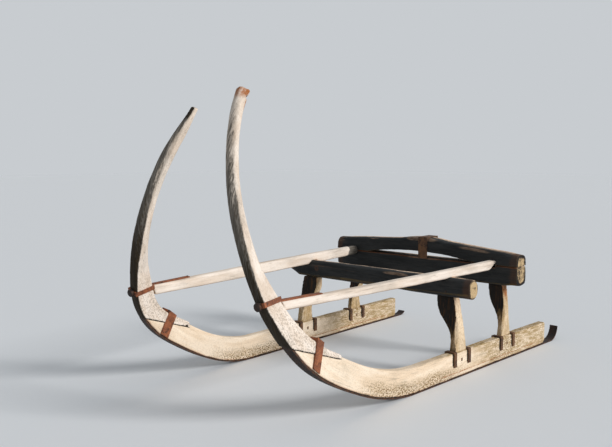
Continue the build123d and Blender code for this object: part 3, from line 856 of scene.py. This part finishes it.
def add_bolster_strap():
    """The bolster's strap. Behind the beam it stops short of the gap under the arch."""
    work = welded("beam_strap")
    low, high = node_box("beam_strap")
    middle = (low + high) / 2
    rear_end = low[2] + strap_rear_cut
    cut(work, (middle[0], 0, 0), (1, 0, 0))
    cut(work, (0, 0, rear_end), (0, 0, 1))
    centres = ((face, face.calc_center_median()) for face in work.faces)
    low_rear = [face for face, place in centres if place.x < middle[0] and place.z < rear_end]
    bmesh.ops.delete(work, geom=low_rear, context="FACES")
    close_holes(work)
    for v in work.verts:
        v.co.y += strap_widening * (v.co.y - middle[1])
    mesh = new_mesh(work, "beam_strap_worn")
    finish_piece("beam_strap_worn", mesh, staple_iron, ["beam_strap"])


def add_nails(name, rows):
    """Low round nail heads: place, the way each one faces, and radius."""
    work = bmesh.new()
    for place, facing, radius in rows:
        turn = Vector(facing).to_track_quat("Z", "Y").to_matrix().to_4x4()
        flatten = Matrix.Diagonal((radius, radius, 0.5 * radius, 1))
        matrix = Matrix.Translation(place) @ turn @ flatten
        bmesh.ops.create_uvsphere(work, u_segments=16, v_segments=10, radius=1, matrix=matrix)
    mesh = new_mesh(work, name)
    shade_smooth(mesh)
    finish_piece(name, mesh, black_iron, [])


# Each kind of piece has its own seeds, ten apart
for number, side in enumerate(("left", "right")):
    add_runner(side, 11 + number)
    add_horn(side, 21 + number)
    add_strut(side, 31 + number)
    add_post("front", side, 41 + number)
    add_post("rear", side, 51 + number)
for number, name in enumerate(("front_beam", "bolster_lower", "bolster_upper")):
    add_beam(name, 61 + number)

nails = add_scarf_band("left") + add_scarf_band("right")
nails.append((beam_nail, (1, 0, 0), small_nail_radius))
for side in ("left", "right"):
    low, high = node_box("strut_strap_" + side)
    place = (low[0] + strap_nail_inset, (low[1] + high[1]) / 2, strap_nail_height[side])
    nails.append((place, (0, 0, 1), small_nail_radius))
add_nails("nail_heads", nails)
add_bolster_strap()

# The materials of the nodes that stay, by the start of their names
node_materials = {
    ("peg",): knee,
    ("shoe", "horn_bolt"): black_iron,
    ("staple", "beam_strap"): staple_iron,
    ("scarf_band", "horn_band", "strut_strap"): iron,
}
for name, node in nodes.items():
    for starts, material in node_materials.items():
        if name.startswith(starts):
            for slot in node.material_slots:
                slot.material = material


# Camera, floor and light

def add_camera():
    heading, pitch, roll = (math.radians(v) for v in (camera_heading, camera_pitch, camera_roll))
    level_ahead = Vector((math.cos(heading), math.sin(heading), 0))
    ahead = level_ahead * math.cos(pitch) + Vector((0, 0, math.sin(pitch)))
    level = Vector((math.sin(heading), -math.cos(heading), 0))
    up = level.cross(ahead)
    right = level * math.cos(roll) + up * math.sin(roll)
    up = up * math.cos(roll) - level * math.sin(roll)
    data = bpy.data.cameras.new("camera")
    data.lens = camera_lens
    data.sensor_width = camera_sensor
    data.clip_end = camera_reach
    camera = link(bpy.data.objects.new("camera", data))
    matrix = Matrix((right, up, -ahead)).transposed().to_4x4()
    matrix.translation = camera_place
    camera.matrix_world = matrix
    bpy.context.scene.camera = camera


def add_floor():
    r = floor_half
    mesh = bpy.data.meshes.new("floor")
    mesh.from_pydata([(-r, -r, 0), (r, -r, 0), (r, r, 0), (-r, r, 0)], [], [(0, 1, 2, 3)])
    floor = link(bpy.data.objects.new("floor", mesh))
    paint = Nodes("floor_paint")
    mesh.materials.append(paint.surface({"Base Color": floor_colour, "Roughness": floor_roughness}))
    floor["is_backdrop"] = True


def add_light():
    """A soft sun, and a sky that shows to the camera and in gloss as an even backdrop."""
    light = bpy.data.lights.new("key", "SUN")
    light.energy = sun_strength
    light.angle = sun_angle
    sun = link(bpy.data.objects.new("key", light))
    sun.rotation_euler = sun_from.to_track_quat("Z", "Y").to_euler()
    world = bpy.data.worlds.new("world")
    bpy.context.scene.world = world
    world.use_nodes = True
    new, join = world.node_tree.nodes.new, world.node_tree.links.new
    sky = world.node_tree.nodes["Background"]
    backdrop = new("ShaderNodeBackground")
    sky.inputs["Color"].default_value = sky_colour
    sky.inputs["Strength"].default_value = sky_strength
    backdrop.inputs["Color"].default_value = backdrop_colour
    rays = new("ShaderNodeLightPath").outputs
    seen = rays["Is Camera Ray"]
    for kind in ("Is Glossy Ray", "Is Transmission Ray"):
        either = new("ShaderNodeMath")
        either.operation = "MAXIMUM"
        join(seen, either.inputs[0])
        join(rays[kind], either.inputs[1])
        seen = either.outputs[0]
    shown = new("ShaderNodeMixShader")
    for socket, source in zip(shown.inputs, (seen, sky.outputs[0], backdrop.outputs[0])):
        join(source, socket)
    join(shown.outputs[0], world.node_tree.nodes["World Output"].inputs["Surface"])


add_camera()
add_floor()
add_light()
bpy.context.scene.view_settings.view_transform = "Standard"

low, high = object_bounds()
